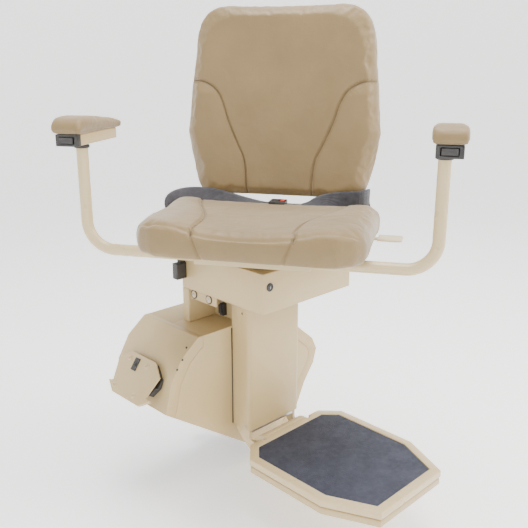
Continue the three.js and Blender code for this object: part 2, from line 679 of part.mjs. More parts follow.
function arm(side) {
  const tag = side < 0 ? 'left' : 'right';
  const section = new THREE.Shape();
  section.absarc(0, 0, TUBE_D / 2, 0, Math.PI * 2, false);
  const tube = new THREE.ExtrudeGeometry(section, {
    steps: 28, curveSegments: 6, bevelEnabled: false, extrudePath: new ArmPath(side),
  });
  add(seat, `arm_tube_${tag}`, tube, CREAM_METAL);
  const middle = side * (ARM_HALF + HOUSING.out);
  const across = (half) => [middle - half, middle + half];
  const level = [HOUSING.low, HOUSING.high];
  add(seat, `arm_housing_${tag}`, box(across(HOUSING.half), [HOUSING.front, HOUSING.back], level), CREAM);

  const capFront = HOUSING.front - CAP_DEPTH;
  const rocker = { half: 15, deep: 5, high: 13 };
  const rockerZ = (level[0] + level[1]) / 2;
  const slot = box(across(rocker.half + 1.5), [capFront - 5, capFront + rocker.deep + 2],
    [rockerZ - rocker.high / 2 - 0.8, rockerZ + rocker.high / 2 + 0.8]);
  add(seat, `switch_cap_${tag}`, cut(
    box(across(HOUSING.half + 0.6), [capFront, HOUSING.front - GAP], [level[0] - 0.8, level[1]]),
    slot,
  ), BLACK);
  const back = capFront + rocker.deep;
  const face = [[-rocker.half, back], [rocker.half, back], [rocker.half, capFront - 3],
    [0, capFront - 0.5], [-rocker.half, capFront - 3]].map(([x, y]) => [x + middle, y]);
  add(seat, `travel_rocker_${tag}`,
    prismZ(face, [rockerZ - rocker.high / 2, rockerZ + rocker.high / 2]), BLACK);
  add(seat, `arm_pad_${tag}`,
    prismX(armPadShape(), across(HOUSING.half + PAD_OVER), 5), VINYL);
}

// ---- lap belt ----
const SEAT_TOP = CUSHION.high + 0.5;
const BUCKLE = { x: [-12, 26], y: [24, 60], z: [SEAT_TOP, SEAT_TOP + 14] };

// a strap comes up beside the cushion, loops over its bolster and lies flat to the buckle
const STRAP_LOOP = { up: 4, top: 20, rest: 6, shoulder: 18, far: 52, near: 95, low: 35 };

function strap(name, side, innerX) {
  const outX = CUSHION.half + 3;
  const { up, top, rest, shoulder, far, near, low } = STRAP_LOOP;
  const line = [[outX, SEAT_TOP - low], [outX, SEAT_TOP + up], [outX - shoulder, SEAT_TOP + top],
    [outX - far, SEAT_TOP + top], [outX - near, SEAT_TOP + rest],
    [Math.abs(innerX) + 20, SEAT_TOP + STRAP_T]];
  const path = line.map(([x, z]) => [side * x, z]);
  path.push([innerX, SEAT_TOP + STRAP_T]);
  add(seat, name, prismY(band(path, side < 0 ? STRAP_T : -STRAP_T), STRAP_Y), WEBBING);
}

function lapBelt() {
  strap('belt_left', -1, BUCKLE.x[0] - GAP);
  const tongue = { x: [BUCKLE.x[1] + GAP, 62], y: [28, 56] };
  strap('belt_right', 1, tongue.x[1] + GAP);
  add(seat, 'belt_tongue', box(tongue.x, tongue.y, [SEAT_TOP + 2, SEAT_TOP + 6]), STEEL);
  const buttonX = [BUCKLE.x[1] - 13, BUCKLE.x[1] - 3];
  const buttonY = [BUCKLE.y[0] + 9, BUCKLE.y[1] - 9];
  const pocket = box([buttonX[0] - 0.5, buttonX[1] + 0.5], [buttonY[0] - 0.5, buttonY[1] + 0.5],
    [BUCKLE.z[1] - 6, BUCKLE.z[1] + 5]);
  add(seat, 'belt_buckle', cut(box(BUCKLE.x, BUCKLE.y, BUCKLE.z), pocket), BLACK);
  add(seat, 'buckle_button', box(buttonX, buttonY, [BUCKLE.z[1] - 2.5, BUCKLE.z[1] + 1]), RED);
}

// ---- assembly ----
coverPanels();
chassis();
railGrip();
drive();
sensorPlate('sensor_plate_upper', toRail(OUTLINE_UPPER[1])[0] - SENSOR_STANDOFF, -1);
sensorPlate('sensor_plate_lower', toRail(lowerFoot)[0] + SENSOR_STANDOFF, 1);
column();
head();
footrestHinge();
footrest();
seatFrame();
swivelLever();
seatBase();
backrest();
[-1, 1].forEach(arm);
lapBelt();

const [originX, originZ] = fromRail(RAIL_MID.along, RAIL_MID.square);
group.position.set(-originX, -RAIL_Y, -originZ);
group.updateMatrixWorld(true);
export default group;
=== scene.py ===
# %% [markdown]
# # A stairlift chair, dressed around its engineering model
#
# The hard parts come in already sized and jointed. This lesson gives them rounded edges
# and real finishes, and adds what the engineering model leaves plain: stuffed upholstery,
# a woven lap belt, screws, sockets, seams and stitching.

# %% Load the frame
import math
import bmesh
import bpy
from mathutils import Matrix, Vector
from mathutils.bvhtree import BVHTree


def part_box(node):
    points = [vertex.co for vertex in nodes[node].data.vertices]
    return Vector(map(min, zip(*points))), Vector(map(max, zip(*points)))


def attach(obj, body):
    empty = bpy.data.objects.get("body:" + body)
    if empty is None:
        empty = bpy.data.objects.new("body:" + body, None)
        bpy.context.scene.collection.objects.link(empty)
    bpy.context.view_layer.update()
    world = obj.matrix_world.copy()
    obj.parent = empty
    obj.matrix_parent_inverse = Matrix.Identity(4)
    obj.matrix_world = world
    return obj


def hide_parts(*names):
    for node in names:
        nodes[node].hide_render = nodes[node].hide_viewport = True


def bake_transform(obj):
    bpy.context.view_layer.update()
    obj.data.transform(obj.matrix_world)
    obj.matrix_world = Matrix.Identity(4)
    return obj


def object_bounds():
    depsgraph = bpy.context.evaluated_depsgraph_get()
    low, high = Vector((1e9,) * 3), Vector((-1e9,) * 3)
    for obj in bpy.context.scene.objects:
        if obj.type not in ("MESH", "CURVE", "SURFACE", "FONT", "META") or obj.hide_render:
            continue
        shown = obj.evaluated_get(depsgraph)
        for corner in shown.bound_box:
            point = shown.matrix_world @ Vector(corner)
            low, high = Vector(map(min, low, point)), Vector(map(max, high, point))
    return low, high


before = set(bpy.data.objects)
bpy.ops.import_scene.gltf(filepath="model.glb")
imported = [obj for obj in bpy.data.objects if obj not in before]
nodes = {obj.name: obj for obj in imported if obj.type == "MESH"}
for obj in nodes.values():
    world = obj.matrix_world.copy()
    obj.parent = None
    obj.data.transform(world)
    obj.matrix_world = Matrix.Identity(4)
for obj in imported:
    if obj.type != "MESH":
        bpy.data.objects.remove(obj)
cad_box = [[float(v) for v in corner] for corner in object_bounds()]
print("frame:", len(nodes), "parts, box", cad_box)

# %% [markdown]
# ## Three drawing boards
#
# A stairlift is drawn from three directions: square to the stairs, along the sloping rail,
# and square to the seat, which is turned on its post. Each board is one matrix that carries
# millimetres on that board into the model's metres, so each piece is drawn straight.

# %% The drawing boards
MM = 0.001
RAIL_MIDDLE = Vector((-81.506, 276.0, 50.968))
SEAT_TURN = math.radians(-58.25)
RAIL_TILT = math.radians(35)
BACK_LEAN = math.radians(-5)
BACK_FOOT = Vector((0, 80, 551))

ON_STAIRS = Matrix.Scale(MM, 4) @ Matrix.Translation(-RAIL_MIDDLE)
ON_RAIL = ON_STAIRS @ Matrix.Rotation(RAIL_TILT, 4, "Y")
ON_SEAT = ON_STAIRS @ Matrix.Rotation(SEAT_TURN, 4, "Z")
ON_BACK = ON_SEAT @ Matrix.Translation(BACK_FOOT) @ Matrix.Rotation(BACK_LEAN, 4, "X")
print("seat post stands at", [round(v, 4) for v in ON_STAIRS @ Vector((0, 0, 0))])

# %% [markdown]
# ## The camera
#
# A short portrait lens at chest height, a little to the upper side of the chair, looks
# slightly down on the seat. It is set first, because everything is judged through it.

# %% The camera
CAMERA_PLACE = (-1.01722, -1.37831, 0.81408)
CAMERA_TURN = (math.radians(73.5635), 0, math.radians(-44.329))
CAMERA_LENS = 47.286
FILM_WIDTH = 36
eye_data = bpy.data.cameras.new("chest_height_camera")
eye_data.lens = CAMERA_LENS
eye_data.sensor_width = FILM_WIDTH
eye = bpy.data.objects.new("chest_height_camera", eye_data)
eye.location = CAMERA_PLACE
eye.rotation_euler = CAMERA_TURN
bpy.context.scene.collection.objects.link(eye)
bpy.context.scene.camera = eye
print("camera", [round(v, 3) for v in eye.location])

# %% [markdown]
# ## Finishes
#
# No real surface is one flat colour. Each finish here has the same recipe in its nodes:
# two close colours mixed by a slow cloud of noise, a gloss that wanders a little, and one
# to three layers of bump, from broad waves down to the finest grain. All of them are
# measured in metres from the model itself, so the grain has its real size.

# %% A helper for node trees
FINISHES = {}


def add_node(tree, kind, **settings):
    """One node, with its plain sockets and options set by name."""
    made = tree.nodes.new(kind)
    for key, value in settings.items():
        if key in made.inputs:
            made.inputs[key].default_value = value
        else:
            setattr(made, key, value)
    return made


def texture(tree, kind, where, **settings):
    """A texture node that reads the given coordinates."""
    made = add_node(tree, kind, **settings)
    tree.links.new(where, made.inputs["Vector"])
    return made


def spread(tree, source, low, high, start=0.0, end=1.0):
    """Maps a 0 to 1 texture onto a narrow range."""
    made = add_node(tree, "ShaderNodeMapRange")
    for name, value in (("From Min", start), ("From Max", end), ("To Min", low), ("To Max", high)):
        made.inputs[name].default_value = value
    tree.links.new(source, made.inputs["Value"])
    return made.outputs["Result"]


print("node helpers: add_node, texture, spread")

# %% [markdown]
# ### One recipe for every finish
#
# Grain could be painted on, but an image has one size and shows its seams. Noise from nodes
# goes on for ever and follows any shape. Each bump node adds one grain to the one before
# it, and its distance is the real height of that grain in metres.

# %% The recipe itself
GRAINS = {
    "cloud": ("ShaderNodeTexNoise", "Fac"),
    "cells": ("ShaderNodeTexVoronoi", "Distance"),
    "bands": ("ShaderNodeTexWave", "Fac"),
}
BUMP_STRENGTH = 0.6
PATCH_RANGE = (0.3, 0.7)
SMEAR_FINER = 3.3
MIX_FACTOR, MIX_A, MIX_B, MIX_COLOUR = 0, 6, 7, 2


def bump_layers(tree, where, layers):
    """Bump nodes one after another, each with its own grain."""
    last = None
    for grain, scale, height, settings in layers:
        kind, output = GRAINS[grain]
        grit = texture(tree, kind, where, Scale=scale, **settings)
        bump = add_node(tree, "ShaderNodeBump", Strength=BUMP_STRENGTH, Distance=height)
        tree.links.new(grit.outputs[output], bump.inputs["Height"])
        if last:
            tree.links.new(last.outputs["Normal"], bump.inputs["Normal"])
        last = bump
    return last


def finish(name, light, dark, patch, rough, layers, turn=(0, 0, 0), stretch=(1, 1, 1), **shader):
    """A named finish: two colours in patches, wandering gloss and layered grain."""
    made = bpy.data.materials.new(name)
    made.use_nodes = True
    tree = made.node_tree
    surface = tree.nodes["Principled BSDF"]
    for key, value in shader.items():
        surface.inputs[key.replace("_", " ")].default_value = value
    place = add_node(tree, "ShaderNodeTexCoord")
    map_in = add_node(tree, "ShaderNodeMapping", Rotation=turn, Scale=stretch)
    tree.links.new(place.outputs["Object"], map_in.inputs["Vector"])
    where = map_in.outputs["Vector"]
    cloud = texture(tree, "ShaderNodeTexNoise", where, Scale=patch, Detail=4.0, Roughness=0.6)
    mix = add_node(tree, "ShaderNodeMix", data_type="RGBA")
    tree.links.new(spread(tree, cloud.outputs["Fac"], 0, 1, *PATCH_RANGE),
                   mix.inputs[MIX_FACTOR])
    mix.inputs[MIX_A].default_value = (*dark, 1)
    mix.inputs[MIX_B].default_value = (*light, 1)
    tree.links.new(mix.outputs[MIX_COLOUR], surface.inputs["Base Color"])
    smear = texture(tree, "ShaderNodeTexNoise", where, Scale=patch * SMEAR_FINER, Detail=3.0)
    tree.links.new(spread(tree, smear.outputs["Fac"], *rough, *PATCH_RANGE),
                   surface.inputs["Roughness"])
    last = bump_layers(tree, where, layers)
    tree.links.new(last.outputs["Normal"], surface.inputs["Normal"])
    FINISHES[name] = made
    return made


print("grains:", sorted(GRAINS))

# %% [markdown]
# ### Painted covers and powder coat
#
# The carriage covers are moulded and painted, with the faint orange peel of sprayed paint.
# The steel parts are powder coated, which leaves a tighter and slightly deeper peel.

# %% Cream paints
finish("cover_cream", (0.520, 0.388, 0.192), (0.485, 0.356, 0.170), 5.0, (0.34, 0.46),
       [("cloud", 60.0, 0.0006, {"Detail": 2.0}), ("cloud", 700.0, 0.00018, {"Detail": 3.0})],
       Coat_Weight=0.15, Coat_Roughness=0.3)
finish("frame_cream", (0.590, 0.460, 0.255), (0.550, 0.425, 0.225), 9.0, (0.26, 0.38),
       [("cloud", 1100.0, 0.00022, {"Detail": 2.0})],
       Coat_Weight=0.3, Coat_Roughness=0.22)
print("paints:", list(FINISHES))

# %% [markdown]
# ### Upholstery vinyl
#
# Soft vinyl has three scales at once: slow wrinkles from being stretched over foam, the
# pebbled grain pressed into its face, and pores between the pebbles. A little sheen gives
# the pale edge that a matt vinyl shows where the light grazes it.

# %% Vinyl
finish("vinyl_tan", (0.222, 0.147, 0.056), (0.190, 0.124, 0.045), 7.0, (0.46, 0.60),
       [("cloud", 22.0, 0.0040, {"Detail": 2.0, "Distortion": 0.6}),
        ("cells", 520.0, 0.00035, {"Randomness": 0.9}),
        ("cloud", 1900.0, 0.00012, {"Detail": 2.0})],
       Sheen_Weight=0.3, Sheen_Roughness=0.45)
print("vinyl:", FINISHES["vinyl_tan"].name)

# %% [markdown]
# ### Plastics, rubber, steel and webbing
#
# Switch caps and the buckle are spark-textured black plastic. The footrest mat is a gritty
# rubber. Machined steel is brushed, so its noise is stretched out along one direction.
# Webbing is woven: two sets of bands cross each other, in line with the turned seat.

# %% The other finishes
finish("black_plastic", (0.034, 0.031, 0.029), (0.022, 0.021, 0.020), 14.0, (0.40, 0.56),
       [("cells", 900.0, 0.00016, {"Randomness": 1.0}), ("cloud", 90.0, 0.0004, {"Detail": 2.0})])
finish("mat_slate", (0.040, 0.044, 0.066), (0.024, 0.027, 0.044), 26.0, (0.72, 0.92),
       [("cells", 420.0, 0.0009, {"Randomness": 1.0}), ("cloud", 1500.0, 0.0003, {"Detail": 3.0})])
finish("bare_steel", (0.560, 0.565, 0.570), (0.440, 0.445, 0.455), 30.0, (0.26, 0.42),
       [("cloud", 60.0, 0.0003, {"Detail": 5.0})], stretch=(1, 1, 14), Metallic=1.0)
finish("webbing", (0.050, 0.047, 0.054), (0.027, 0.025, 0.030), 60.0, (0.70, 0.88),
       [("bands", 175.0, 0.0007, {"bands_direction": "X"}),
        ("bands", 120.0, 0.0006, {"bands_direction": "Y"}),
        ("cloud", 2200.0, 0.0003, {"Detail": 2.0})],
       turn=(0, 0, -SEAT_TURN), Sheen_Weight=0.25, Sheen_Roughness=0.4)
# Painted shade: a dark brown for the line laid at the bottom of each seam, standing in for the
# shade in the groove.
finish("painted_seam_shade", (0.150, 0.105, 0.060), (0.110, 0.076, 0.042), 60.0, (0.70, 0.85),
       [("cloud", 1500.0, 0.0002, {"Detail": 2.0})])
finish("roller_nylon", (0.780, 0.765, 0.710), (0.700, 0.685, 0.625), 40.0, (0.30, 0.45),
       [("cloud", 260.0, 0.0003, {"Detail": 3.0})])
finish("button_red", (0.480, 0.028, 0.018), (0.390, 0.020, 0.014), 60.0, (0.30, 0.42),
       [("cells", 900.0, 0.00012, {"Randomness": 1.0})])
print("finishes:", sorted(FINISHES))

# %% [markdown]
# ## Hard parts keep their shape and get soft edges
#
# Nothing moulded, cast or sawn has a razor edge. Each hard part is welded, its flat faces
# are merged, and every sharp edge gets a small rounding that catches the light. These are
# modifiers, so the engineering shape underneath stays exactly as it is.

# %% Round the edges of every hard part
FINISH_OF = {
    "cover_cream": ["front_cover", "end_cover_upper", "end_cover_lower", "rear_cover",
                    "column_cover", "head_box", "upright_block", "footrest_sensor_pan",
                    "sensor_plate_upper", "sensor_plate_lower", "arm_housing_left",
                    "arm_housing_right", "back_shell"],
    "frame_cream": ["hinge_lug_left", "hinge_lug_right", "footrest_tray", "footrest_barrel",
                    "seat_beam", "seat_frame", "back_bracket", "swivel_lever", "arm_tube_left",
                    "arm_tube_right"],
    "black_plastic": ["drive_motor", "battery_1", "battery_2", "interlock_switch", "seat_pan",
                      "switch_cap_left", "switch_cap_right", "travel_rocker_left",
                      "travel_rocker_right", "belt_buckle"],
    "mat_slate": ["footrest_mat"],
    "bare_steel": ["chassis_plate", "roller_axle_1", "roller_axle_2", "roller_axle_3",
                   "roller_axle_4", "drive_pinion", "gearbox", "column_frame", "swivel_bearing",
                   "footrest_hinge_pin", "swivel_plate", "belt_tongue"],
    "roller_nylon": ["rail_roller_1", "rail_roller_2", "rail_roller_3", "rail_roller_4",
                     "rail_side_pad"],
    "button_red": ["buckle_button"],
}
ROUNDING = {"head_box": 3.0, "upright_block": 2.5, "front_cover": 1.4, "end_cover_upper": 1.4,
            "end_cover_lower": 1.4, "rear_cover": 1.4, "belt_buckle": 3.5, "belt_tongue": 1.2,
            "arm_housing_left": 2.5, "arm_housing_right": 2.5, "switch_cap_left": 1.6,
            "switch_cap_right": 1.6, "battery_1": 4.0, "battery_2": 4.0, "gearbox": 4.0,
            "interlock_switch": 2.0}
PLAIN_ROUNDING = 0.9
WELD_WITHIN = 0.00002
FLAT_WITHIN = math.radians(1.5)
SHARP_BEYOND = math.radians(32)


def soften(piece, width):
    """Welds, merges flat faces and rounds the sharp edges, as modifiers."""
    weld = piece.modifiers.new("weld", "WELD")
    weld.merge_threshold = WELD_WITHIN
    merge = piece.modifiers.new("merge_flats", "DECIMATE")
    merge.decimate_type = "DISSOLVE"
    merge.angle_limit = FLAT_WITHIN
    bevel = piece.modifiers.new("rounded_edges", "BEVEL")
    bevel.width = width * MM
    bevel.segments = 3
    bevel.limit_method = "ANGLE"
    bevel.angle_limit = SHARP_BEYOND
    bevel.harden_normals = True
    for face in piece.data.polygons:
        face.use_smooth = True


for slot_name, names in FINISH_OF.items():
    for name in names:
        nodes[name].data.materials.clear()
        nodes[name].data.materials.append(FINISHES[slot_name])
        soften(nodes[name], ROUNDING.get(name, PLAIN_ROUNDING))
print("rounded", sum(len(n) for n in FINISH_OF.values()), "hard parts")

# %% [markdown]
# ## Small parts from simple shapes
#
# Screws, rings and buttons are turned on a lathe: a half outline is swung around an axis.
# A socket is cut by letting some rings of that outline follow a hexagon. A shape here is a
# pair of lists, corners and faces, so that many small parts can be joined into one piece.

# %% Shapes as lists of corners and faces
def moved(shape, matrix):
    """The same shape, carried somewhere else."""
    return [matrix @ Vector(v) for v in shape[0]], shape[1]


def together(shapes):
    """Several shapes as one list of corners and faces."""
    corners, faces = [], []
    for more_corners, more_faces in shapes:
        faces += [[i + len(corners) for i in face] for face in more_faces]
        corners += list(more_corners)
    return corners, faces


def turned(outline, sides=32, hex_rows=()):
    """Swings (radius, height) rows around the axis. Rows in hex_rows are six-sided."""
    corners = []
    for row, (radius, height) in enumerate(outline):
        for k in range(sides):
            angle = 2 * math.pi * k / sides
            reach = radius
            if row in hex_rows:
                from_flat = angle % (math.pi / 3) - math.pi / 6
                reach = radius * math.cos(math.pi / 6) / math.cos(from_flat)
            corners.append(Vector((reach * math.cos(angle), reach * math.sin(angle), height)))
    return corners, ring_faces(len(outline), sides)


def ring_faces(rows, sides):
    """The faces between rings of corners, with a cap on the first and the last ring."""
    faces = []
    for row in range(rows - 1):
        a, b = row * sides, (row + 1) * sides
        faces += [[a + k, a + (k + 1) % sides, b + (k + 1) % sides, b + k] for k in range(sides)]
    faces.append(list(range(sides))[::-1])
    faces.append([(rows - 1) * sides + k for k in range(sides)])
    return faces


print("a hexagon socket has", len(turned([(2, 0), (2, 1)], 36, (0, 1))[0]), "corners")

# %% [markdown]
# ### Slabs, tubes and finished pieces
#
# Plates are outlines with a thickness, and bars are a round section carried along a line.
# A curve object would give the same bar, but corners and faces can be joined, bent and
# turned outwards in one go. The last helper turns such a shape into a named piece.

# %% Slabs, tubes and finished pieces
def slab(outline, low, high):
    """A flat outline given a thickness."""
    n = len(outline)
    corners = [Vector((x, y, z)) for z in (low, high) for x, y in outline]
    faces = [list(range(n))[::-1], list(range(n, 2 * n))]
    faces += [[k, (k + 1) % n, (k + 1) % n + n, k + n] for k in range(n)]
    return corners, faces


def block(width, depth, height):
    """A box that stands on the middle of its base."""
    w, d = width / 2, depth / 2
    return slab([(-w, -d), (w, -d), (w, d), (-w, d)], 0, height)


def tube(points, radius, sides=16):
    """A round section carried along a line without twisting."""
    points = [Vector(p) for p in points]
    corners, side = [], None
    for i, p in enumerate(points):
        ahead = (points[min(i + 1, len(points) - 1)] - points[max(i - 1, 0)]).normalized()
        side = ahead.orthogonal() if side is None else side - ahead * side.dot(ahead)
        side.normalize()
        up = ahead.cross(side)
        for k in range(sides):
            angle = 2 * math.pi * k / sides
            corners.append(p + (side * math.cos(angle) + up * math.sin(angle)) * radius)
    return corners, ring_faces(len(points), sides)


def facing(place, direction):
    """Stands a shape at a place, with its own Z pointing in a direction."""
    turn = Vector(direction).to_track_quat("Z", "Y").to_matrix().to_4x4()
    return Matrix.Translation(place) @ turn


def straighten(mesh):
    """Turns every face of a mesh outwards."""
    work = bmesh.new()
    work.from_mesh(mesh)
    bmesh.ops.recalc_face_normals(work, faces=work.faces)
    work.to_mesh(mesh)
    work.free()


def make(name, shape, board, body, slot_name, rounding=0.0):
    """A named piece on a drawing board that moves with a body."""
    mesh = bpy.data.meshes.new(name)
    mesh.from_pydata([board @ v for v in shape[0]], [], shape[1])
    mesh.validate()
    piece = bpy.data.objects.new(name, mesh)
    bpy.context.scene.collection.objects.link(piece)
    mesh.materials.append(FINISHES[slot_name])
    straighten(mesh)
    for face in mesh.polygons:
        face.use_smooth = True
    if rounding:
        soften(piece, rounding)
    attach(piece, body)
    return piece


print("helpers: slab, block, tube, facing, make")

# %% [markdown]
# ## Fastenings
#
# The covers are held by small socket screws, and the sensor plates by larger ones that sit
# in washers, painted with the plate. The chassis plate and the swivel plate are bolted on.
# Equal screws are one piece: one head is turned, and its copies stand where it is needed.

# %% Screws
SCREW_ROUNDING = 0.12


def screw(radius, washer=0.0):
    """A button head with a hexagon socket, standing on its washer."""
    head = turned([(radius, -0.4), (radius, radius * 0.25), (radius * 0.82, radius * 0.55),
                   (radius * 0.5, radius * 0.62), (radius * 0.46, radius * 0.1)], 36, (3, 4))
    if not washer:
        return head
    ring = turned([(washer, -0.3), (washer, 0.7), (washer * 0.93, 0.95), (radius * 0.9, 0.95)], 36)
    return together([ring, moved(head, Matrix.Translation((0, 0, 0.9)))])


def screws(name, places, direction, board, body, radius, washer=0.0, slot_name="bare_steel"):
    """A set of equal screws as one piece."""
    one = screw(radius, washer)
    shape = together([moved(one, facing(p, direction)) for p in places])
    return make(name, shape, board, body, slot_name, SCREW_ROUNDING)


PLATE_OUT = 336.2
PLATE_SCREWS = [(189, 0), (122, 0), (199, -71), (122, -72)]
PLATE_SCREW_R, PLATE_WASHER_R = 4.6, 7.5
screws("upper_plate_screws", [(-PLATE_OUT, y, z) for y, z in PLATE_SCREWS], (-1, 0, 0),
       ON_RAIL, "sensor_upper", PLATE_SCREW_R, PLATE_WASHER_R, "frame_cream")
lower_corners = [ON_RAIL.inverted() @ v.co for v in nodes["sensor_plate_lower"].data.vertices]
lower_out = max(corner.x for corner in lower_corners)
screws("lower_plate_screws", [(lower_out, y, z) for y, z in PLATE_SCREWS], (1, 0, 0),
       ON_RAIL, "sensor_lower", PLATE_SCREW_R, PLATE_WASHER_R, "frame_cream")

# %% [markdown]
# ### The other screws
#
# Three dark screws follow the edge of the front cover, and one holds the column's foot. The
# large bolts are out of sight from the front, but the chair is also seen from behind.

# %% The other screws
COVER_FACE, FOOT_FACE, SWIVEL_PLATE_TOP = 42.9, -86.1, 448
COVER_SCREWS = [(-222, 248), (-234.5, 222), (-250, 203)]
CHASSIS_BOLTS = [(-220, 190), (-110, 240), (20, 238), (120, 190), (185, 100), (120, 0),
                 (20, -60), (-235, 95)]
SWIVEL_PLATE_SCREWS = [(x, y) for x in (-104, 104) for y in (-122, 94)]
screws("cover_screws", [(x, COVER_FACE, z) for x, z in COVER_SCREWS], (0, -1, 0),
       ON_STAIRS, "carriage", 2.6, 0.0, "black_plastic")
screws("foot_screws", [(FOOT_FACE, -2, 14)], (-1, 0, 0), ON_STAIRS, "carriage", 3.0)
chassis_y = (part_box("chassis_plate")[1].y / MM) + RAIL_MIDDLE.y
screws("chassis_bolts", [(x, chassis_y, z) for x, z in CHASSIS_BOLTS], (0, 1, 0),
       ON_STAIRS, "carriage", 5.0, 8.0)
screws("swivel_plate_screws", [(x, y, SWIVEL_PLATE_TOP) for x, y in SWIVEL_PLATE_SCREWS],
       (0, 0, 1), ON_SEAT, "seat_upper", 6.0, 9.0)
print("screws:", len(PLATE_SCREWS) * 2, "on the end plates,", len(CHASSIS_BOLTS), "behind")

# %% [markdown]
# ## The upper end plate
#
# This plate is the safety bumper at the top end of the carriage. Its middle has a small
# black reader window with a round eye, and a dark block sits behind its lower corner.

# %% Reader window and bumper block
UPHILL = (-1, 0, 0)
WINDOW_Y, WINDOW_Z = 161.5, -7
eye_ring = turned([(4.4, 0), (4.4, 1.6), (3.2, 1.6), (3.0, 0.4)], 28)
window = together([
    moved(block(17, 30, 2.4), facing((-PLATE_OUT + 0.2, WINDOW_Y, WINDOW_Z), UPHILL)),
    moved(eye_ring, facing((-PLATE_OUT - 2.2, WINDOW_Y, WINDOW_Z), UPHILL)),
])
make("reader_window", window, ON_RAIL, "sensor_upper", "black_plastic", 0.6)
BUMPER_PLACE = (-322, 78, -22)
make("bumper_block", moved(block(22, 26, 3.4), facing(BUMPER_PLACE, UPHILL)),
     ON_RAIL, "carriage", "black_plastic", 1.5)
print("reader window and bumper block on the upper end")

# %% [markdown]
# ### Painted gap shade and column seals
#
# Behind the end plate a black block of painted shade fills the gap to the end cover, where
# that gap lies in shade, and a thin black seal runs down each side of the column, where it
# leaves the front cover. Without them the gaps would show the hollow inside.

# %% Painted gap shade and column seals
GAP_SHADE_OUTLINE = [(43, 13), (76, -12), (74, -32), (62, -56),
          (-62, -56), (-74, -32), (-76, -12), (-43, 13)]
GAP_SHADE_SPAN = (-325.4, -311)
PLATE_MIDDLE_Y = 147.5


def standing_slab(outline, near, far):
    """A (y, z) outline given a thickness along the rail."""
    corners, faces = slab(outline, near, far)
    return [Vector((c.z, c.x, c.y)) for c in corners], faces


# Painted shade: a black block in the gap between the end plate and the end cover.
gap_shade = standing_slab([(PLATE_MIDDLE_Y + y, z) for y, z in GAP_SHADE_OUTLINE], *GAP_SHADE_SPAN)
make("plate_gap_shade", gap_shade, ON_RAIL, "carriage", "black_plastic", 1.0)
SEAL_X, SEAL_Y, SEAL_FOOT, SEAL_LENGTH = 87.3, 42.1, 8, 250
seal_strip = block(2.4, 1.6, SEAL_LENGTH)
column_seal = together([moved(seal_strip, Matrix.Translation((side * SEAL_X, SEAL_Y, SEAL_FOOT)))
                        for side in (-1, 1)])
make("column_seal", column_seal, ON_STAIRS, "carriage", "black_plastic")
print("end plate dressed")

# %% [markdown]
# ## Key switch and the hardware under the head
#
# The head box carries a key switch near its front corner: a collar around a barrel, both
# of black plastic, with a bright key slot. All three are turned or cut from small shapes.

# %% Key switch
KEY_PLACE = (-124.4, -122.0, 406.3)
collar = turned([(9.2, -0.4), (9.2, 1.6), (8.2, 2.6), (6.6, 2.6), (6.2, 0.8)], 40)
barrel = turned([(6.1, -0.3), (6.1, 1.9), (5.6, 2.2)], 36)
key_place = facing(KEY_PLACE, (0, -1, 0))
make("key_collar", moved(collar, key_place), ON_STAIRS, "carriage", "black_plastic", 0.3)
make("key_barrel", moved(barrel, key_place), ON_STAIRS, "carriage", "black_plastic", 0.2)
slot_shape = moved(block(1.4, 6.5, 0.5), key_place @ Matrix.Translation((0, 0, 2.0)))
make("key_slot", slot_shape, ON_STAIRS, "carriage", "bare_steel")
print("key switch at", KEY_PLACE)

# %% [markdown]
# ### The recess under the head
#
# Below the head's left side two socket screws sit in round cups. Further in are a pressed
# bracket and the plug of the wiring. They are small, but the eye looks into the recess.

# %% Recess hardware
HANGER_FACE = -134.0
INNER_FACE = -60.0
CUPS = [(HANGER_FACE, y, 334) for y in (120, 66)]
boss = turned([(8.2, -0.4), (8.2, 2.2), (7.4, 2.8)], 40)
seal = turned([(8.3, 0.2), (10.6, 0.2), (10.9, 1.4), (9.6, 2.4), (8.3, 1.6)], 40)
make("socket_bosses", together([moved(boss, facing(c, UPHILL)) for c in CUPS]),
     ON_STAIRS, "carriage", "frame_cream", 0.3)
make("socket_seals", together([moved(seal, facing(c, UPHILL)) for c in CUPS]),
     ON_STAIRS, "carriage", "black_plastic")
screws("socket_screws", [(HANGER_FACE - 2.8, y, z) for _, y, z in CUPS], UPHILL,
       ON_STAIRS, "carriage", 3.6)
plug = together([moved(block(13, 30, 12), facing((INNER_FACE, 96, 286), UPHILL)),
                 moved(block(9, 22, 6), facing((INNER_FACE - 12, 96, 288.5), UPHILL))])
make("wiring_plug", plug, ON_STAIRS, "carriage", "black_plastic", 1.0)
BRACKET_TURN = Matrix.Rotation(0.5, 4, "Z")
strip = moved(block(9, 66, 1.6), facing((INNER_FACE, 112, 306), UPHILL) @ BRACKET_TURN)
make("pressed_bracket", strip, ON_STAIRS, "carriage", "bare_steel", 0.5)
print("head dressed")

# %% [markdown]
# ## Arm tubes
#
# Each arm is one length of one-inch tube with a single swept bend. The engineering model
# has it in few flats, so the visible tube is drawn again on the same line with a rounder
# section, and stands for the plain one.

# %% Arm tubes
TUBE_R = 12.7
ARM_IN, ARM_OUT, ARM_BEND = 18.0, 375.5, 62.0
ARM_Y, ARM_Z, ARM_TOP = -163.0, 463.5, 692.4
BEND_STEPS = 24
STRAIGHT_STEPS = 6
TUBE_SIDES = 40


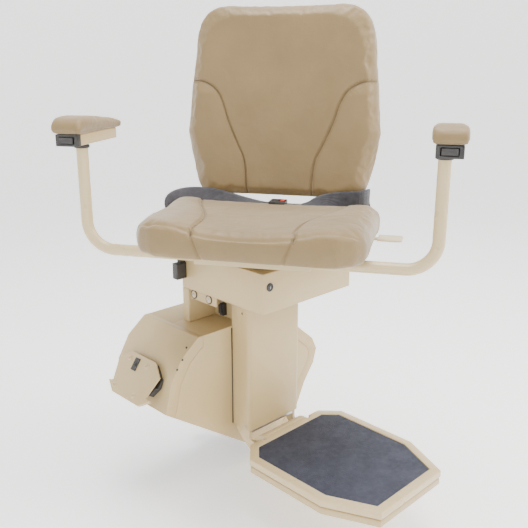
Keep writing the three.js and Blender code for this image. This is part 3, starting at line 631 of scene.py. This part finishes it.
def arm_line(side):
    """The middle of an arm tube: level, round the bend and up."""
    level, upright = ARM_OUT - ARM_BEND - ARM_IN, ARM_TOP - ARM_Z - ARM_BEND
    line = [(ARM_IN + i * level / STRAIGHT_STEPS, ARM_Z) for i in range(STRAIGHT_STEPS)]
    for i in range(BEND_STEPS + 1):
        angle = math.pi / 2 * i / BEND_STEPS
        line.append((ARM_OUT - ARM_BEND + ARM_BEND * math.sin(angle),
                     ARM_Z + ARM_BEND - ARM_BEND * math.cos(angle)))
    line += [(ARM_OUT, ARM_Z + ARM_BEND + i * upright / STRAIGHT_STEPS)
             for i in range(1, STRAIGHT_STEPS + 1)]
    return [(side * x, ARM_Y, z) for x, z in line]


for side, tag in ((-1, "left"), (1, "right")):
    round_tube = make(f"round_arm_tube_{tag}", tube(arm_line(side), TUBE_R, TUBE_SIDES), ON_SEAT,
                      f"arm_{tag}", "frame_cream", 0.8)
    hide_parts(f"arm_tube_{tag}")
    collar_shape = turned([(TUBE_R + 0.1, 0), (TUBE_R + 3.4, 0.6), (TUBE_R + 3.6, 5.4),
                           (TUBE_R + 1.2, 7.4), (TUBE_R + 0.1, 7.6)], TUBE_SIDES)
    collar_place = Matrix.Translation((side * ARM_OUT, ARM_Y, ARM_TOP - 8))
    make(f"arm_collar_{tag}", moved(collar_shape, collar_place), ON_SEAT, f"arm_{tag}",
         "black_plastic", 0.3)
print("arms drawn with", BEND_STEPS, "steps in each bend")

# %% [markdown]
# ## Upholstery
#
# A foam cushion in a sewn cover is fullest in the middle of each panel and pulls in at its
# edges. Drawing that by hand looks stiff, so each block is rebuilt from small even faces
# and blown up a little as cloth, like a balloon in a box. The swelling is capped, and
# pressed flat where the cushion rests on its board. Bolsters, dishing and seams are pressed
# in afterwards, because they are finer than the cloth that was blown up.

# %% Blow up a block
CLOTH_STEPS = 20
CLOTH_PRESSURE = 4.0
EVEN_OUT_TURNS = 6


def evaluated(piece):
    """Replaces a piece's mesh by what its modifiers make of it."""
    view = bpy.context.evaluated_depsgraph_get()
    view.update()
    mesh = bpy.data.meshes.new_from_object(piece.evaluated_get(view))
    piece.modifiers.clear()
    piece.data = mesh
    return piece


def stuffed(name, node, board, scale, voxel, cap):
    """A remeshed copy of a block, blown up as cloth by at most cap, with finer faces."""
    low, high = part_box(node)
    back = board.inverted()
    middle = back @ ((low + high) / 2)
    mesh = bpy.data.meshes.new_from_object(nodes[node])
    resize = Matrix.Diagonal((*scale, 1))
    about_middle = Matrix.Translation(middle) @ resize @ Matrix.Translation(-middle)
    mesh.transform(board @ about_middle @ back)
    piece = bpy.data.objects.new(name, mesh)
    bpy.context.scene.collection.objects.link(piece)
    remesh = piece.modifiers.new("even_faces", "REMESH")
    remesh.mode = "VOXEL"
    remesh.voxel_size = voxel * MM
    even = piece.modifiers.new("even_out", "SMOOTH")
    even.iterations = EVEN_OUT_TURNS
    evaluated(piece)
    blow_up(piece, cap)
    finer = piece.modifiers.new("finer", "SUBSURF")
    finer.levels = finer.render_levels = 1
    evaluated(piece)
    piece.data.materials.clear()
    piece.data.materials.append(FINISHES["vinyl_tan"])
    for face in piece.data.polygons:
        face.use_smooth = True
        face.material_index = 0
    print(name, len(piece.data.polygons), "faces")
    return piece


def blow_up(piece, cap):
    """Twenty steps of cloth under pressure, with each point's movement capped."""
    scene = bpy.context.scene
    start = [v.co.copy() for v in piece.data.vertices]
    cloth = piece.modifiers.new("cloth", "CLOTH")
    cloth.settings.use_pressure = True
    cloth.settings.uniform_pressure_force = CLOTH_PRESSURE
    cloth.settings.effector_weights.gravity = 0.0
    cloth.settings.quality = 4
    cloth.point_cache.frame_start = 1
    cloth.point_cache.frame_end = CLOTH_STEPS
    for step in range(1, CLOTH_STEPS + 1):
        scene.frame_set(step)
    evaluated(piece)
    scene.frame_set(1)
    for vertex, before in zip(piece.data.vertices, start):
        shift = vertex.co - before
        if shift.length > cap * MM:
            vertex.co = before + shift.normalized() * cap * MM


print("cushions are blown up in", CLOTH_STEPS, "steps")


# %% [markdown]
# ### Seams as curves on a panel
#
# A seam is an open line drawn on the panel's board. Its distance tells how deep the cover
# is pulled in, and the same line later carries the thread. Between two seams a panel can
# be made fuller or flatter by how far a point is from them.

# %% Lines and distances
def smooth_line(points, steps=8):
    """A smooth curve through a few points."""
    points = [Vector(p) for p in points]
    padded = [points[0] * 2 - points[1], *points, points[-1] * 2 - points[-2]]
    line = []
    for a, b, c, d in zip(padded, padded[1:], padded[2:], padded[3:]):
        for i in range(steps):
            t = i / steps
            line.append(0.5 * (2 * b + (c - a) * t + (2 * a - 5 * b + 4 * c - d) * t ** 2
                               + (3 * b - a - 3 * c + d) * t ** 3))
    return line + [points[-1]]


def distance_to(line, x, y):
    """How far a point on the board is from a line."""
    best = 1e9
    for a, b in zip(line, line[1:]):
        dx, dy = b.x - a.x, b.y - a.y
        t = max(0, min(1, ((x - a.x) * dx + (y - a.y) * dy) / (dx * dx + dy * dy)))
        best = min(best, math.hypot(a.x + dx * t - x, a.y + dy * t - y))
    return best


def across_at(line, y):
    """Where a line stands at a height y."""
    for a, b in zip(line, line[1:]):
        low, high = sorted((a.y, b.y))
        if low <= y <= high and high > low:
            return a.x + (b.x - a.x) * (y - a.y) / (b.y - a.y)
    return line[0].x if abs(line[0].y - y) < abs(line[-1].y - y) else line[-1].x


def ease(value, start, end):
    """0 before start, 1 after end, and a soft step between them."""
    t = max(0.0, min(1.0, (value - start) / (end - start)))
    return t * t * (3 - 2 * t)


def hill(value, middle, half):
    """1 at the middle, 0 beyond half, round on top."""
    t = (value - middle) / half
    return max(0.0, 1 - t * t) ** 1.5 if abs(t) < 1 else 0.0


def reshape(piece, board, rule):
    """Moves every point of a piece by a rule written on its board."""
    back = board.inverted()
    normals = [back.to_3x3() @ v.normal for v in piece.data.vertices]
    for vertex, normal in zip(piece.data.vertices, normals):
        vertex.co = board @ rule(back @ vertex.co, normal.normalized())
    piece.data.update()
    return piece


print("half way up a soft step:", ease(0.5, 0, 1))

# %% [markdown]
# ### The seat cushion
#
# Two S-shaped seams part the seat into a dished middle and two raised side bolsters. The
# seams run over the front edge and down its face. A third seam follows the front edge. The
# cushion is flat only where it rests on its board, and hangs over the board's edges.

# %% Seat cushion
SEAT_LOW, SEAT_HIGH, SEAT_REAR = 487.3, 535.0, 64.0
BOARD_HALF, BOARD_FRONT, BOARD_REAR = 195.0, -221.0, 19.0
LIP, LIP_REACH, LIP_HEIGHTS = 6.5, (2, 22), (488, 512)
SEAT_EDGE, SEAT_BOLSTER_SPREAD, BOLSTER_RISE, BOLSTER_FADES = 236, 22, 9.0, (10, 60)
DISH, DISH_FADES, DISH_LEFT = 6.0, (-30, 30), 0.25
FACES_UP, FACES_FRONT = (0.15, 0.75), (0.3, 0.8)
SEAM_DEEP, SEAM_WIDE = 4.0, 2.8
EDGE_SEAM_DEEP, EDGE_SEAM_WIDE = 2.6, 3.0
FACE_SEAM_X, FACE_SEAM_SLANT = 106, 0.5
seat_seam = smooth_line([(188, 72, 0), (176, 30, 0), (158, -30, 0), (132, -88, 0), (110, -150, 0),
                         (104, -215, 0), (106, -275, 0)])
front_seam = smooth_line([(-250, -205, 0), (-215, -232, 0), (-150, -250, 0), (0, -256, 0),
                          (150, -250, 0), (215, -232, 0), (250, -205, 0)])


def groove_at(distance):
    """How deep a seam pulls the cover in, at a distance from it."""
    return SEAM_DEEP * math.exp(-(distance / SEAM_WIDE) ** 2)


def seat_rule(p, normal):
    """Bolsters, dish and seams of the seat, and the lip over its board."""
    x, y = abs(p.x), p.y
    seam_x = across_at(seat_seam, y)
    top = ease(normal.z, *FACES_UP)
    front = ease(-normal.y, *FACES_FRONT)
    if x > seam_x:
        half = (SEAT_EDGE - seam_x) / 2 + SEAT_BOLSTER_SPREAD
        lift = BOLSTER_RISE * hill(x, (seam_x + SEAT_EDGE) / 2, half)
        lift *= 1 - ease(y, *BOLSTER_FADES)
    else:
        calm = 1 - ease(y, *DISH_FADES)
        lift = -DISH * (1 - (x / seam_x) ** 2) * (DISH_LEFT + (1 - DISH_LEFT) * calm)
    groove = groove_at(distance_to(seat_seam, x, y))
    edge = EDGE_SEAM_DEEP * math.exp(-(distance_to(front_seam, p.x, y) / EDGE_SEAM_WIDE) ** 2)
    out = Vector(p)
    out.z += top * (lift - groove - edge)
    out.y += front * groove_at(x - (FACE_SEAM_X - (SEAT_HIGH - p.z) * FACE_SEAM_SLANT))
    beyond = max(x - BOARD_HALF, BOARD_FRONT - y, y - BOARD_REAR)
    lip = LIP * ease(beyond, *LIP_REACH)
    out.z = max(out.z - lip * (1 - ease(p.z, *LIP_HEIGHTS)), SEAT_LOW - lip)
    out.y = min(out.y, SEAT_REAR + 1)
    return out


seat_pad = stuffed("seat_upholstery", "seat_cushion", ON_SEAT, (1.05, 1.03, 1.03), 5.0, 9.0)
reshape(seat_pad, ON_SEAT, seat_rule)
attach(seat_pad, "seat_base")
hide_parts("seat_cushion")

# %% [markdown]
# ### The back cushion
#
# The backrest has a bolster on each side. Its seam leaves the side edge level, then swings
# down towards the waist. The panel between them is flatter, and its top is well rounded.

# %% Back cushion
BACK_DEEP, BACK_LOWEST = 52.0, 3.0
WING_EDGE, WING_SPREAD, WING_TOP, WING_RISE, WING_FADES = 222, 14, 268, 8.0, (0, 34)
NO_SEAM = 400.0
FULL_TOP, HOLLOW_WAIST = 3.0, 3.0
BACK_FACES = (0.1, 0.7)
back_seam = smooth_line([(232, 268, 0), (205, 267, 0), (184, 264, 0), (158, 248, 0), (140, 220, 0),
                         (124, 172, 0), (102, 122, 0), (88, 92, 0), (82, 62, 0), (78, -6, 0)])


def back_rule(p, normal):
    """Side bolsters, a fuller top, a hollow at the waist, and the seams of the back."""
    x, h = abs(p.x), p.z
    face = ease(-normal.y, *BACK_FACES)
    seam_x = across_at(back_seam, h) if h < WING_TOP - 1 else NO_SEAM
    if x > seam_x and h < WING_TOP:
        half = (WING_EDGE - seam_x) / 2 + WING_SPREAD
        fade = ease(WING_TOP - h, *WING_FADES)
        lift = WING_RISE * hill(x, (seam_x + WING_EDGE) / 2, half) * fade
    else:
        top = FULL_TOP * hill(x, 0, 230) * hill(h, 250, 330)
        lift = top - HOLLOW_WAIST * hill(x, 0, 150) * hill(h, 110, 160)
    out = Vector(p)
    out.y -= face * (lift - groove_at(distance_to(back_seam, x, h)))
    out.y = min(out.y, BACK_DEEP)
    out.z = max(out.z, BACK_LOWEST)
    return out


back_pad = stuffed("back_upholstery", "back_cushion", ON_BACK, (1.055, 1.0, 1.045), 5.0, 9.0)
reshape(back_pad, ON_BACK, back_rule)
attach(back_pad, "seat_upper")
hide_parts("back_cushion")

# %% [markdown]
# ### Arm pads
#
# Each arm ends in a firm, domed pad that overhangs its housing by a finger's width. It is
# smaller and tighter than the cushions, so it gets finer faces and swells much less. A
# narrow waist near its base stands for the welt where the cover is tucked under.

# %% Arm pads
PAD_LOW = 716.9
WELT_UP, WELT_WIDE, WELT_DEEP = 6.0, 1.6, 1.4


def pad_rule(p, normal):
    """A flat base and the waist of the welt."""
    out = Vector(p)
    waist = math.exp(-((p.z - PAD_LOW - WELT_UP) / WELT_WIDE) ** 2)
    pull = WELT_DEEP * waist * (1 - abs(normal.z))
    out -= normal * pull
    out.z = max(out.z, PAD_LOW)
    return out


for tag in ("left", "right"):
    pad = stuffed(f"arm_upholstery_{tag}", f"arm_pad_{tag}", ON_SEAT, (0.96, 0.985, 0.95), 4.0, 3.0)
    reshape(pad, ON_SEAT, pad_rule)
    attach(pad, f"arm_{tag}")
    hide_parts(f"arm_pad_{tag}")

# %% [markdown]
# ### Thread
#
# A seam is only believable with its stitches. A bump texture could draw them, but it would
# not follow the seam. So each stitch is a short piece of thread, laid on the finished
# surface on both sides of the seam: a ray dropped on the cushion says where it lies.

# %% Stitches on the seams
STITCH = 5.2
PITCH = 7.5
THREAD_R, THREAD_SIDES = 0.45, 6
THREAD_BESIDE = 4.5
# Spacing, radius and sides of the dark line of painted shade at the bottom of each seam.
SHADE_LINE_PITCH, SHADE_LINE_R, SHADE_LINE_SIDES = 5.0, 0.9, 8
RAY_REACH = 0.08
SIT_PROUD = 0.0003


def surface_tree(piece):
    """A finished cushion, ready to be hit by rays."""
    view = bpy.context.evaluated_depsgraph_get()
    return BVHTree.FromObject(piece, view)


def walk(line, pitch):
    """Even steps along a line: place and direction."""
    left, out = 0.0, []
    for a, b in zip(line, line[1:]):
        length = (b - a).length
        while left <= length:
            out.append((a + (b - a) * left / length, (b - a).normalized()))
            left += pitch
        left -= length
    return out


def above_seat(p):
    """A point of a seat seam, lifted clear of the cushion."""
    return Vector((p.x, p.y, 570))


def before_back(p):
    """A point of a back seam, drawn out in front of the cushion."""
    return Vector((p.x, -30, p.y))


def stitches(line, side, tree, board, drop, lift_to):
    """Thread laid beside a line, dropped onto the surface along a direction."""
    made = []
    back = board.inverted()
    ray = (board.to_3x3() @ Vector(drop)).normalized()
    for place, ahead in walk(line, PITCH):
        across = Vector((ahead.y, -ahead.x, 0)) * side
        ends = []
        for reach in (-STITCH / 2, STITCH / 2):
            spot = lift_to(place + ahead * reach + across)
            hit, normal, _, _ = tree.ray_cast(board @ spot, ray, RAY_REACH)
            if hit is not None:
                ends.append(back @ (hit + normal * SIT_PROUD))
        if len(ends) == 2 and (ends[0] - ends[1]).length < STITCH * 2:
            thread = [ends[0], ends[0].lerp(ends[1], 0.5), ends[1]]
            made.append(tube(thread, THREAD_R, THREAD_SIDES))
    return made


def seam_shade_line(line, tree, board, drop, lift_to):
    """Painted shade: a thin dark line at the bottom of a seam, where the two panels meet."""
    back, points = board.inverted(), []
    ray = (board.to_3x3() @ Vector(drop)).normalized()
    for place, _ in walk(line, SHADE_LINE_PITCH):
        hit, _, _, _ = tree.ray_cast(board @ lift_to(place), ray, RAY_REACH)
        if hit is not None:
            points.append(back @ hit)
    return tube(points, SHADE_LINE_R, SHADE_LINE_SIDES)


def mirror(line):
    """The same seam on the other side."""
    return [Vector((-p.x, p.y, p.z)) for p in line]


# %% [markdown]
# ### Sewing both cushions
#
# The seat's seams are dropped straight down and the back's straight back, each one on its
# own side and mirrored. The thread has the colour of the cover. The seam's bottom gets a
# thin dark line of painted shade, for the little light that gets into it.

# %% Sewing both cushions
SEWING = (("seat", seat_pad, seat_seam, ON_SEAT, "seat_base", (0, 0, -1), above_seat),
          ("back", back_pad, back_seam, ON_BACK, "seat_upper", (0, 1, 0), before_back))
threads = {"seat": [], "back": []}
for tag, pad, seam, board, body, drop, lift_to in SEWING:
    both = (seam, mirror(seam))
    how = (surface_tree(pad), board, drop, lift_to)
    for line in both:
        for side in (-THREAD_BESIDE, THREAD_BESIDE):
            threads[tag] += stitches(line, side, *how)
    # Painted shade: a dark line along the bottom of both seams.
    shade_lines = together([seam_shade_line(line, *how) for line in both])
    make(f"{tag}_seam_shade_line", shade_lines, board, body, "painted_seam_shade")
for tag, _, _, board, body, _, _ in SEWING:
    make(f"{tag}_thread", together(threads[tag]), board, body, "vinyl_tan")
    print("stitches on the", tag, "cushion:", len(threads[tag]))

# %% [markdown]
# ## The lap belt
#
# The belt is flat webbing. It comes up from behind each side of the cushion, stands up in a
# loop over the bolster, and lies along the back of the seat to the buckle. A thin closed
# ribbon is enough, because the weave and the fuzz come from its finish. On the chair one end
# is fixed to the upright back and the other lies on the folding seat. Here each strap is
# drawn on the seat's board and then let go of its body, so it stays where it is drawn.

# %% Webbing straps
STRAP_THICK, STRAP_HALF = 1.8, 20.0
LEFT_STRAP = [(-11, 42, 537.6, 4), (-42, 43, 538.4, 10), (-84, 48, 541.5, 24), (-124, 53, 546, 40),
              (-166, 55, 552, 48), (-206, 50, 555, 40), (-232, 40, 552, 38), (-246, 27, 541, 52),
              (-251, 14, 524, 76), (-250, 4, 502, 90)]
RIGHT_STRAP = [(61, 42, 537.8, 4), (84, 46, 540.5, 20), (110, 54, 547, 48), (140, 60, 551, 72),
               (172, 62, 554, 84), (196, 66, 556, 90), (208, 80, 557, 90), (212, 98, 555, 90),
               (212, 113, 545, 90), (207, 121, 520, 90), (196, 123, 494, 90), (186, 123, 474, 90)]


def twisted_ribbon(stations, rows=6, steps=6):
    """A flat strap along a line. The last number of a station is its tilt: 90 stands on edge."""
    line = smooth_line([s[:3] for s in stations], steps)
    tilts = [v.x for v in smooth_line([(s[3], 0, 0) for s in stations], steps)]
    ring = [(i / rows * 2 - 1, 0.5) for i in range(rows + 1)]
    ring += [(1 - i / rows * 2, -0.5) for i in range(rows + 1)]
    corners = []
    for i, (place, tilt) in enumerate(zip(line, tilts)):
        ahead = (line[min(i + 1, len(line) - 1)] - line[max(i - 1, 0)]).normalized()
        level = ahead.cross(Vector((0, 0, 1))).normalized()
        level = level if level.y > 0 or abs(level.y) < abs(level.x) else -level
        upright = ahead.cross(level).normalized()
        upright = upright if upright.z > 0 else -upright
        lean = math.radians(tilt)
        wide = level * math.cos(lean) + upright * math.sin(lean)
        thick = ahead.cross(wide).normalized()
        for w, t in ring:
            corners.append(place + wide * (w * STRAP_HALF) + thick * (t * STRAP_THICK))
    return corners, ring_faces(len(line), len(ring))


for tag, stations in (("left", LEFT_STRAP), ("right", RIGHT_STRAP)):
    strap = make(f"webbing_{tag}", twisted_ribbon(stations), ON_SEAT, "seat_base", "webbing")
    strap.parent = None
    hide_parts(f"belt_{tag}")
    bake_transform(strap)
print("belt laid")

# %% [markdown]
# ## Footrest details
#
# The footrest comes in complete, with its mat and the loose pan under it. Only the pin it
# turns on is too plain: both of its ends get a domed cap.

# %% Hinge caps
PIN_END, PIN_Y, PIN_Z = 83.0, -49, -29.5
dome = turned([(6.8, -0.2), (6.8, 1.4), (5.6, 2.6), (2.5, 3.2)], 28)
caps = [moved(dome, facing((side * PIN_END, PIN_Y, PIN_Z), (side, 0, 0))) for side in (-1, 1)]
make("hinge_caps", together(caps), ON_STAIRS, "carriage", "bare_steel", 0.3)
print("caps on the footrest's hinge:", len(caps))

# %% [markdown]
# ## The stage
#
# A plain pale floor that curves up far behind the object, three large soft lights and a
# pale sky: the shadows stay soft, and the cream covers keep their own colour.

# %% Floor and backdrop
FLOOR = cad_box[0][2] - 0.002
BOWL_HUB, BOWL_FLAT, BOWL_CURVE, BOWL_TOP = 0.02, 3.6, 2.0, 4.0
BOWL_SIDES, CURVE_STEPS = 96, 16
PAPER_GLOW = 0.6


def bowl():
    """A round floor that curves up into a wall all around."""
    profile = [(BOWL_HUB, 0.0), (BOWL_FLAT, 0.0)]
    for i in range(1, CURVE_STEPS + 1):
        angle = math.pi / 2 * i / CURVE_STEPS
        profile.append((BOWL_FLAT + BOWL_CURVE * math.sin(angle),
                        BOWL_CURVE - BOWL_CURVE * math.cos(angle)))
    profile.append((BOWL_FLAT + BOWL_CURVE, BOWL_TOP))
    corners, faces = turned(profile, BOWL_SIDES)
    mesh = bpy.data.meshes.new("pale_floor")
    mesh.from_pydata([v + Vector((0, 0, FLOOR)) for v in corners], [], faces[:-1])
    piece = bpy.data.objects.new("pale_floor", mesh)
    bpy.context.scene.collection.objects.link(piece)
    for face in mesh.polygons:
        face.use_smooth = True
    paper = finish("pale_paper", (0.95, 0.95, 0.945), (0.93, 0.93, 0.925), 2.0, (0.85, 0.95),
                   [("cloud", 90.0, 0.0002, {"Detail": 3.0})])
    surface = paper.node_tree.nodes["Principled BSDF"]
    surface.inputs["Emission Color"].default_value = (1, 1, 1, 1)
    surface.inputs["Emission Strength"].default_value = PAPER_GLOW
    mesh.materials.append(paper)
    return piece


print("floor of", len(bowl().data.polygons), "faces")

# %% [markdown]
# ### Lights
#
# A warm key light comes from the lower side of the chair, a weak cool one fills the upper
# side, and the strongest hangs overhead. Large square lights give shadows without an edge.

# %% Lights
SKY_STRENGTH = 0.55


def soft_light(name, place, target, size, watts, colour=(1, 1, 1)):
    """A square lamp at a place, turned to a target."""
    data = bpy.data.lights.new(name, "AREA")
    data.shape = "SQUARE"
    data.size = size
    data.energy = watts
    data.color = colour
    lamp = bpy.data.objects.new(name, data)
    lamp.location = place
    lamp.rotation_euler = (Vector(target) - Vector(place)).to_track_quat("-Z", "Y").to_euler()
    bpy.context.scene.collection.objects.link(lamp)
    return lamp


soft_light("key_light", (1.6, -2.2, 2.2), (0, -0.2, 0.3), 1.6, 95, (1.0, 0.98, 0.95))
soft_light("fill_light", (-2.6, -1.4, 1.2), (0, -0.2, 0.3), 2.2, 9, (0.98, 0.99, 1.0))
soft_light("top_light", (0.1, -0.3, 3.2), (0, -0.3, 0.3), 2.2, 165)
sky = bpy.data.worlds.new("pale_sky")
sky.use_nodes = True
backdrop = sky.node_tree.nodes["Background"]
backdrop.inputs["Color"].default_value = (1, 1, 1, 1)
backdrop.inputs["Strength"].default_value = SKY_STRENGTH
bpy.context.scene.world = sky
print("stage lit by", [lamp.name for lamp in bpy.data.lights])
